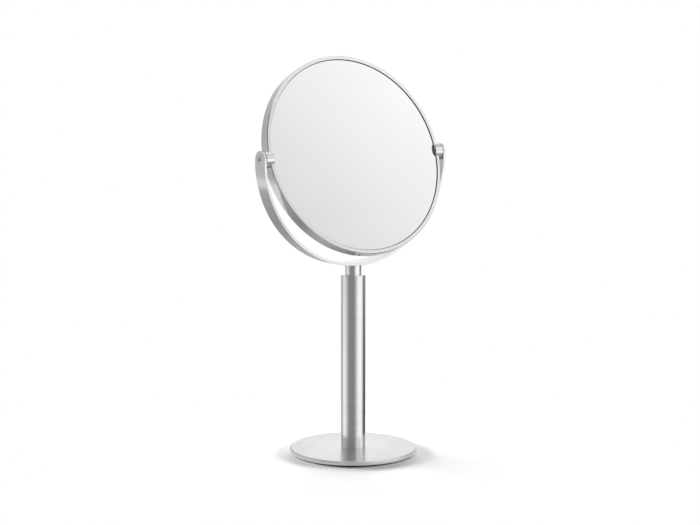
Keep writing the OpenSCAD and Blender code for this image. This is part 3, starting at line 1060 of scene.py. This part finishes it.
@dataclass
class MirrorHead:
    """Frame with its two glasses and the two pivots."""

    pivot_height: float
    tilt: float = math.radians(20.0)
    radius: float = field(default_factory=lambda: reach("frame_ring"))
    inner_radius: float = field(default_factory=lambda: reach("front_seal"))
    glass_radius: float = field(default_factory=lambda: reach("plain_mirror"))
    depth: float = 12.0 * MM
    outer_rounding: float = 1.0 * MM
    inner_rounding: float = 0.12 * MM
    recess: float = 1.1 * MM
    glass: float = 2.0 * MM
    curve_radius: float = 1.05
    ground_edge: float = 0.12 * MM
    block_radius: float = field(default_factory=lambda: half_height("right_pivot_block"))
    block_out: float = field(default_factory=lambda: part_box("right_pivot_block")[1].x)
    block_in: float = field(default_factory=lambda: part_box("right_pivot_block")[0].x)
    pocket_radius: float = 5.8 * MM
    pocket_depth: float = 1.75 * MM
    steps: int = 512

    def __post_init__(self) -> None:
        """Works out where the head stands at rest."""
        self.place = Matrix.Translation((0.0, 0.0, self.pivot_height)) @ Matrix.Rotation(
            math.pi / 2 - self.tilt, 4, "X")

    def ring(self, shop: Workshop, name: str, radii: tuple[float, float], heights: tuple[float, float],
             roundings: tuple[float, float], slot: str) -> bpy.types.Mesh:
        """Sweeps one ring of the head.

        Args:
            shop: The workshop with the sweeping tree.
            name: The mesh's name.
            radii: Inner and outer radius.
            heights: Back and front along the plain glass's outward direction.
            roundings: Rounding of the outer and the inner edges.
            slot: Its finish.

        Returns:
            The ring, in place on the head.
        """
        mesh = grown(name, bpy.data.meshes.new(name), shop.swept_ring, {
            "Middle radius": sum(radii) / 2, "Wall": radii[1] - radii[0], "Depth": heights[1] - heights[0],
            "Outer rounding": roundings[0], "Inner rounding": roundings[1], "Steps": self.steps,
            "Finish": shop.materials[slot]})
        mesh.transform(self.place @ Matrix.Translation((0.0, 0.0, sum(heights) / 2)))
        return clean_shell(mesh, 40.0)

    def plain_mesh(self) -> bpy.types.Mesh:
        """Flat glass with ground edges."""
        front = self.depth / 2 - self.recess
        back = front - self.glass
        outline = rounded(((0.0, back, 0.0), (self.glass_radius, back, self.ground_edge),
                           (self.glass_radius, front, self.ground_edge), (0.0, front, 0.0)), steps=3)
        mesh = spun("plain_mirror_finished", outline, self.steps, closed=False, sharp=20.0)
        mesh.transform(self.place)
        return mesh

    def curved_mesh(self) -> bpy.types.Mesh:
        """Hollow-faced glass of even thickness that looks out of the back."""
        rim = self.recess - self.depth / 2
        dish = self.curve_radius - math.sqrt(self.curve_radius ** 2 - self.glass_radius ** 2)
        rows = 40
        face = [(self.glass_radius * k / rows,
                 rim + dish - (self.curve_radius - math.sqrt(self.curve_radius ** 2
                                                             - (self.glass_radius * k / rows) ** 2)))
                for k in range(rows + 1)]
        back = [(radius, height + self.glass) for radius, height in reversed(face)]
        mesh = spun("magnifying_mirror_finished", face + back, self.steps, closed=False, sharp=30.0)
        mesh.transform(self.place)
        return mesh

    def block_mesh(self) -> bpy.types.Mesh:
        """Right-hand pivot block along +Z, turned, pocketed and slotted for the frame."""
        edge = 0.35 * MM
        outline = rounded((
            (0.0, self.block_in, 0.0), (self.block_radius, self.block_in, edge),
            (self.block_radius, self.block_out, edge), (self.pocket_radius, self.block_out, edge / 4),
            (self.pocket_radius, self.block_out - self.pocket_depth, 0.0),
            (0.0, self.block_out - self.pocket_depth, 0.0)), steps=5)
        block = bpy.data.objects.new("pivot_block", spun("pivot_block", outline, 128, closed=False))
        block.data.transform(Matrix.Rotation(math.pi / 2, 4, "Y"))
        half = self.depth / 2
        slot = rounded(((0.0, -half, 0.0), (self.radius, -half, self.outer_rounding),
                        (self.radius, half, self.outer_rounding), (0.0, half, 0.0)), steps=6)
        cutter = bpy.data.objects.new("slot_cutter", spun("slot_cutter", slot, self.steps, closed=False))
        for thing in (block, cutter):
            bpy.context.scene.collection.objects.link(thing)
        cut = block.modifiers.new("slot", "BOOLEAN")
        cut.operation = "DIFFERENCE"
        cut.solver = "EXACT"
        cut.object = cutter
        mesh = evaluated(block)
        for thing in (block, cutter):
            bpy.data.objects.remove(thing)
        return mesh

    def screw_mesh(self) -> bpy.types.Mesh:
        """Right-hand pivot screw along +Z: countersunk head with a hexagon socket."""
        low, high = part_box("right_pivot_screw")
        head, face, tip = high.y, high.x, low.x
        shank = 2.0 * MM
        apothem = 1.25 * MM
        socket = 1.5 * MM
        soft = 0.08 * MM
        count = 96
        loops = [circle(0.0, face - socket - apothem / 3, count), hexagon(apothem, face - socket, count),
                 hexagon(apothem, face - soft, count), hexagon(apothem + soft, face, count),
                 circle(head - 2 * soft, face, count), circle(head - soft / 2, face - soft / 2, count),
                 circle(head, face - soft, count), circle(shank, face - (head - shank), count),
                 circle(shank, tip + shank / 4, count), circle(shank * 0.75, tip, count),
                 circle(0.0, tip, count)]
        return skin("pivot_screw", loops, closed=False, sharp=30.0)

    def build(self, shop: Workshop) -> None:
        """Makes the head's pieces."""
        half = self.depth / 2
        frame_ring = self.ring(shop, "frame_ring_finished", (self.inner_radius, self.radius), (-half, half),
                               (self.outer_rounding, self.inner_rounding), "brushed_ring")
        shop.piece("frame_ring_finished", frame_ring, "brushed_ring", "mirror_head", "frame_ring")
        face = half - self.recess
        sunk = 0.1 * MM
        soft = 0.05 * MM
        for name, heights in (("front_seal", (face - self.glass, face - sunk)),
                              ("back_seal", (sunk - face, self.glass - face))):
            seal = self.ring(shop, f"{name}_finished", (self.glass_radius, self.inner_radius), heights,
                             (soft, soft), "seal_grey")
            shop.piece(f"{name}_finished", seal, "seal_grey", "mirror_head", name)
        shop.piece("plain_mirror_finished", self.plain_mesh(), "mirror_glass", "mirror_head", "plain_mirror")
        shop.piece("magnifying_mirror_finished", self.curved_mesh(), "mirror_glass", "mirror_head",
                   "magnifying_mirror")
        screw = self.screw_mesh()
        screw.transform(Matrix.Rotation(math.pi / 2, 4, "Y"))
        for name, mesh, slot, sharp in (("pivot_block", self.block_mesh(), "turned_steel", 30.0),
                                        ("pivot_screw", screw, "screw_steel", 30.0)):
            pair = grown(f"{name}s", mesh, shop.both_ends, {"Finish": shop.materials[slot]})
            pair.transform(self.place)
            shop.piece(f"{name}s_finished", clean_shell(pair, sharp), slot, "mirror_head",
                       f"left_{name}", f"right_{name}")
        shop.dress({"spacer_ring": "black_plastic", "left_friction_washer": "white_plastic",
                    "right_friction_washer": "white_plastic", "left_spring_washer": "spring_steel",
                    "right_spring_washer": "spring_steel"})


# ---- Studio ----


def looking(place: Vector, look: Vector) -> Matrix:
    """Where a camera or a lamp stands that looks along a direction."""
    return Matrix.Translation(place) @ look.to_track_quat("-Z", "Y").to_matrix().to_4x4()


@dataclass(frozen=True)
class Lamp:
    """A soft wide light.

    The bearing is in degrees from the camera's side, the distance from the column's axis and the height
    above the floor in metres, the power in watts.
    """

    name: str
    bearing: float
    distance: float
    height: float
    power: float
    face: tuple[float, float] = (3.0, 0.9)


@dataclass
class Studio:
    """Pale floor, one wide soft light and walls of white panels and black cloth that the metal mirrors.

    Bearings are degrees round the object from the camera's side, positive to its right. Heights are
    elevations in degrees. Each pair is where one part of the surroundings starts to give way to the next,
    and where it has. The floor's pairs are metres.
    """

    facing: float
    strength: float = 1.22
    ambient: float = 0.03
    low_wall: tuple[tuple[float, float], ...] = (
        (-180, 0.56), (-160, 0.36), (-146, 0.28), (-133, 0.46), (-120, 0.52), (-112, 0.64), (-103, 0.96),
        (-90, 0.98), (-78, 0.86), (-66, 0.68), (-55, 0.47), (-45, 0.29), (-34, 0.22), (4, 0.21),
        (13, 0.27), (22, 0.41), (32, 0.62), (42, 0.80), (52, 0.92), (63, 0.97), (76, 0.95), (87, 0.84),
        (99, 0.46), (111, 0.08), (157, 0.07), (170, 0.45), (180, 0.56))
    high_wall: tuple[tuple[float, float], ...] = (
        (-180, 0.92), (-172, 0.86), (-160, 0.50), (-142, 0.42), (-122, 0.36), (-113, 0.46), (-95, 0.44),
        (-72, 0.36), (-44, 0.24), (-34, 0.22), (10, 0.22), (50, 0.92), (60, 0.96), (92, 0.90), (108, 0.32),
        (150, 0.40), (165, 0.96), (180, 0.92))
    skirting: tuple[tuple[float, float], ...] = (
        (-180, 0.50), (-162, 0.42), (-140, 0.27), (-118, 0.36), (-60, 0.26), (17, 0.22), (50, 0.36),
        (96, 0.34), (112, 0.16), (157, 0.16), (180, 0.50))
    ceiling: float = 0.76
    gap_over_panel: float = 0.46
    cloth: float = 0.11
    ground: float = 0.22
    paper: float = 0.62
    wall_join: tuple[float, float] = (-12.0, -4.0)
    panel_heights: tuple[float, float] = (10.0, 20.0)
    panel_left: tuple[float, float] = (40.0, 60.0)
    panel_right: tuple[float, float] = (90.0, 100.0)
    panel_middle: tuple[float, float] = (75.3, 28.1)
    panel_slopes: tuple[float, float] = (0.033, 0.0127)
    panel_level: float = 0.77
    panel_limits: tuple[float, float] = (0.5, 0.98)
    gap_heights: tuple[float, float] = (38.0, 46.0)
    ceiling_heights: tuple[float, float] = (50.0, 57.0)
    cloth_bottom: tuple[float, float] = (23.0, 31.0)
    cloth_top: tuple[float, float] = (56.0, 64.0)
    cloth_left: tuple[float, float] = (-90.0, -72.0)
    cloth_right: tuple[float, float] = (24.0, 42.0)
    skirting_heights: tuple[float, float] = (-12.0, -24.0)
    ground_heights: tuple[float, float] = (-28.0, -52.0)
    paper_heights: tuple[float, float] = (-55.0, -61.0)
    floor_half: float = 1.5
    lit_point: Vector = field(default_factory=lambda: Vector((0.0, 0.0, 0.1)))
    floor_fade: tuple[float, float] = (0.12, 0.26)
    floor_mirrored: tuple[float, float] = (0.03, 0.06)
    lamps: tuple[Lamp, ...] = (Lamp("left_low_light", -118.0, 4.0, 0.9, 400.0),
                               Lamp("right_low_light", 105.0, 4.0, 1.3, 180.0),
                               Lamp("back_low_light", 172.0, 3.5, 0.75, 235.0))

    def ramp(self, sheet: Sheet, bearing: object,
             stops: Sequence[tuple[float, float]]) -> bpy.types.NodeSocket:
        """Adds a brightness that changes with the bearing."""
        node = sheet.add("ShaderNodeValToRGB")
        sheet.feed(node.inputs[0], bearing)
        elements = node.color_ramp.elements
        while len(elements) > 1:
            elements.remove(elements[-1])
        for index, (degrees, level) in enumerate(stops):
            place = (degrees + 180) / 360
            stop = elements[0] if index == 0 else elements.new(place)
            stop.position = place
            stop.color = (level, level, level, 1.0)
        return node.outputs["Color"]

    @staticmethod
    def between(sheet: Sheet, value: object, start: tuple[float, float],
                end: tuple[float, float]) -> bpy.types.NodeSocket:
        """Adds a share that rises over the first pair of values and falls over the second."""
        return sheet.math("MULTIPLY", sheet.remap(value, *start), sheet.remap(value, *end, 1.0, 0.0))

    def panel(self, sheet: Sheet, degrees: object, height: object) -> bpy.types.NodeSocket:
        """Soft fall of light over the big panel that the plain glass mirrors.

        Args:
            sheet: The world's sheet.
            degrees: The bearing.
            height: The elevation in degrees.

        Returns:
            A colour that brightens upwards and to the right.
        """
        across, upwards = (
            sheet.math("MULTIPLY", sheet.math("SUBTRACT", value, middle), slope)
            for value, middle, slope in zip((degrees, height), self.panel_middle, self.panel_slopes))
        fall = sheet.math("ADD", sheet.math("ADD", across, upwards), self.panel_level)
        darkest, brightest = self.panel_limits
        held = sheet.math("MINIMUM", sheet.math("MAXIMUM", fall, darkest), brightest)
        colour = sheet.add("ShaderNodeCombineColor")
        for socket in colour.inputs[:3]:
            sheet.feed(socket, held)
        return colour.outputs[0]

    def walls(self) -> None:
        """Builds the world: banded walls for reflections, even light for the rest, white behind."""
        world = bpy.data.worlds.new("studio")
        bpy.context.scene.world = world
        world.use_nodes = True
        sheet = Sheet(world.node_tree)
        output = next(n for n in world.node_tree.nodes if n.type == "OUTPUT_WORLD")
        light = next(n for n in world.node_tree.nodes if n.type == "BACKGROUND")
        parts = sheet.add("ShaderNodeSeparateXYZ")
        sheet.feed(parts.inputs[0], sheet.add("ShaderNodeTexCoord").outputs["Generated"])
        x, y, z = parts.outputs
        raw = sheet.math("SUBTRACT", sheet.math("ARCTAN2", y, x), self.facing)
        turn = sheet.math("WRAP", raw, math.pi, -math.pi)
        bearing = sheet.math("DIVIDE", sheet.math("ADD", turn, math.pi), math.tau)
        height = sheet.math("DEGREES", sheet.math("ARCSINE", z))
        degrees = sheet.math("DEGREES", turn)
        level = self.ramp(sheet, bearing, self.low_wall)
        level = sheet.blend(sheet.remap(height, *self.wall_join), level,
                            self.ramp(sheet, bearing, self.high_wall))
        within = sheet.math("MULTIPLY", sheet.remap(height, *self.panel_heights),
                            self.between(sheet, degrees, self.panel_left, self.panel_right))
        level = sheet.blend(within, level, self.panel(sheet, degrees, height))
        level = sheet.blend(sheet.remap(height, *self.gap_heights), level, (self.gap_over_panel,) * 3)
        level = sheet.blend(sheet.remap(height, *self.ceiling_heights), level, (self.ceiling,) * 3)
        cloth = sheet.math("MULTIPLY", self.between(sheet, height, self.cloth_bottom, self.cloth_top),
                           self.between(sheet, degrees, self.cloth_left, self.cloth_right))
        level = sheet.blend(cloth, level, (self.cloth,) * 3)
        level = sheet.blend(sheet.remap(height, *self.skirting_heights), level,
                            self.ramp(sheet, bearing, self.skirting))
        level = sheet.blend(sheet.remap(height, *self.ground_heights), level, (self.ground,) * 3)
        level = sheet.blend(sheet.remap(height, *self.paper_heights), level, (self.paper,) * 3)
        rays = sheet.add("ShaderNodeLightPath")
        bright = sheet.add("ShaderNodeVectorMath", operation="SCALE")
        sheet.feed(bright.inputs[0], level)
        bright.inputs["Scale"].default_value = self.strength
        even = sheet.blend(rays.outputs["Is Diffuse Ray"], bright.outputs[0], (self.ambient,) * 3)
        sheet.feed(light.inputs["Color"], sheet.blend(rays.outputs["Is Camera Ray"], even, (1.0, 1.0, 1.0)))
        light.inputs["Strength"].default_value = 1.0
        sheet.feed(output.inputs["Surface"], light.outputs[0])

    def floor(self) -> None:
        """Lays the pale floor under the foot."""
        half = self.floor_half
        corners = [(-half, -half, 0.0), (half, -half, 0.0), (half, half, 0.0), (-half, half, 0.0)]
        mesh = bpy.data.meshes.new("floor")
        mesh.from_pydata(corners, [], [(0, 1, 2, 3)])
        thing = bpy.data.objects.new("floor", mesh)
        bpy.context.scene.collection.objects.link(thing)
        material = bpy.data.materials.new("floor_paper")
        material.use_nodes = True
        sheet = Sheet(material.node_tree)
        shader = next(n for n in material.node_tree.nodes if n.type == "BSDF_PRINCIPLED")
        output = next(n for n in material.node_tree.nodes if n.type == "OUTPUT_MATERIAL")
        place = sheet.add("ShaderNodeTexCoord").outputs["Object"]
        grain = sheet.noise(place, 3.0, 2.0)
        sheet.feed(shader.inputs["Base Color"], sheet.blend(grain, (0.93, 0.93, 0.93), (0.95, 0.95, 0.95)))
        shader.inputs["Roughness"].default_value = 0.9
        shader.inputs["Specular IOR Level"].default_value = 0.0
        distance = sheet.add("ShaderNodeVectorMath", operation="LENGTH")
        sheet.feed(distance.inputs[0], place)
        away = distance.outputs["Value"]
        rays = sheet.add("ShaderNodeLightPath")
        seen = sheet.remap(away, *self.floor_fade)
        mirrored = sheet.remap(rays.outputs["Ray Length"], *self.floor_mirrored, smooth=False)
        share = sheet.add("ShaderNodeMix", data_type="FLOAT")
        sheet.feed(share.inputs[0], rays.outputs["Is Glossy Ray"])
        sheet.feed(share.inputs[2], seen)
        sheet.feed(share.inputs[3], mirrored)
        fade = sheet.add("ShaderNodeMixShader")
        sheet.feed(fade.inputs[0], share.outputs[0])
        sheet.feed(fade.inputs[1], shader.outputs[0])
        sheet.feed(fade.inputs[2], sheet.add("ShaderNodeBsdfTransparent").outputs[0])
        sheet.feed(output.inputs["Surface"], fade.outputs[0])
        mesh.materials.append(material)

    def hang(self, lamp: Lamp) -> None:
        """Hangs a lamp that looks at the foot of the column and doesn't show itself."""
        data = bpy.data.lights.new(lamp.name, "AREA")
        data.shape = "RECTANGLE"
        data.size, data.size_y = lamp.face
        data.energy = lamp.power
        thing = bpy.data.objects.new(lamp.name, data)
        angle = self.facing + math.radians(lamp.bearing)
        place = Vector((lamp.distance * math.cos(angle), lamp.distance * math.sin(angle), lamp.height))
        thing.matrix_world = looking(place, self.lit_point - place)
        thing.visible_glossy = False
        thing.visible_camera = False
        bpy.context.scene.collection.objects.link(thing)

    def build(self) -> None:
        """Sets up the walls, the floor and the light."""
        self.walls()
        self.floor()
        for lamp in self.lamps:
            self.hang(lamp)
        bpy.context.scene.view_settings.view_transform = "Standard"
        LOG.info("studio ready")


@dataclass
class Viewpoint:
    """The camera."""

    place: Vector = field(default_factory=lambda: Vector((-0.9688, -1.3873, 0.41765)))
    aim: Vector = field(default_factory=lambda: Vector((0.5659, 0.8136, -0.1331)))
    lens: float = 89.32
    sensor: float = 36.0
    nearest: float = 0.05
    farthest: float = 60.0

    def bearing(self) -> float:
        """Angle of the camera's side of the object round Z."""
        return math.atan2(-self.aim.y, -self.aim.x)

    def build(self) -> None:
        """Makes the camera and puts it to use."""
        data = bpy.data.cameras.new("viewpoint")
        data.lens = self.lens
        data.sensor_width = self.sensor
        data.clip_start = self.nearest
        data.clip_end = self.farthest
        thing = bpy.data.objects.new("viewpoint", data)
        bpy.context.scene.collection.objects.link(thing)
        thing.matrix_world = looking(self.place, self.aim)
        bpy.context.scene.camera = thing


def pivot_place() -> float:
    """Height of the mirror's pivot axis, from the record's tilt joint."""
    return next(j for j in frame["joints"] if j["name"] == "mirror_tilt")["pos_m"][2]


def finishes(pivot_height: float) -> tuple[Finish, ...]:
    """Lists the finish of every material slot.

    Args:
        pivot_height: Height of the pivot axis, which the frame's and the yoke's grain turn about.

    Returns:
        The finishes.
    """
    pivot = (0.0, 0.0, pivot_height)
    quarter = math.pi / 2
    return (
        BrushedSteel("brushed_plate", Lay.STRAIGHT, turned=(0.0, 0.0, math.radians(34.8)), roughness=0.3,
                     along=25.0, across=1800.0, anisotropy=0.85),
        BrushedSteel("brushed_tube", Lay.ROUND, roughness=0.15, anisotropy=0.7),
        BrushedSteel("brushed_strip", Lay.ROUND, turned=(quarter, 0.0, 0.0), centre=pivot, roughness=0.22),
        BrushedSteel("brushed_ring", Lay.ROUND, turned=(math.radians(-70.0), 0.0, 0.0), centre=pivot,
                     roughness=0.16),
        MachinedSteel("turned_steel"),
        MachinedSteel("screw_steel", tint=(0.70, 0.70, 0.71), shade=(0.6, 0.6, 0.61), roughness=0.26),
        MachinedSteel("plain_steel", tint=(0.62, 0.62, 0.63), shade=(0.5, 0.5, 0.51), roughness=0.36,
                      relief=0.1),
        MachinedSteel("spring_steel", tint=(0.55, 0.56, 0.58), shade=(0.45, 0.46, 0.48), roughness=0.3),
        SilveredGlass("mirror_glass"),
        Moulded("white_plastic", (0.80, 0.80, 0.78), (0.74, 0.74, 0.72)),
        Moulded("bush_plastic", (0.42, 0.42, 0.42), (0.37, 0.37, 0.37)),
        Moulded("black_plastic", (0.035, 0.035, 0.036), (0.02, 0.02, 0.021)),
        Moulded("seal_grey", (0.15, 0.15, 0.155), (0.12, 0.12, 0.125), roughness=0.55),
        Moulded("black_rubber", (0.03, 0.03, 0.03), (0.018, 0.018, 0.018), roughness=0.75, relief=0.4),
        Moulded("foot_rubber", (0.10, 0.10, 0.10), (0.07, 0.07, 0.07), roughness=0.8, relief=0.5),
    )


def main() -> None:
    """Builds the camera, the studio and every sub-assembly, and reports each piece."""
    logging.basicConfig(level=logging.INFO, format="%(name)s: %(message)s")
    viewpoint = Viewpoint()
    viewpoint.build()
    Studio(viewpoint.bearing()).build()
    pivot_height = pivot_place()
    shop = Workshop(finishes(pivot_height))
    for assembly in (Foot(), Column(), Arm(pivot_height), MirrorHead(pivot_height)):
        assembly.build(shop)


if __name__ == "__main__":
    main()
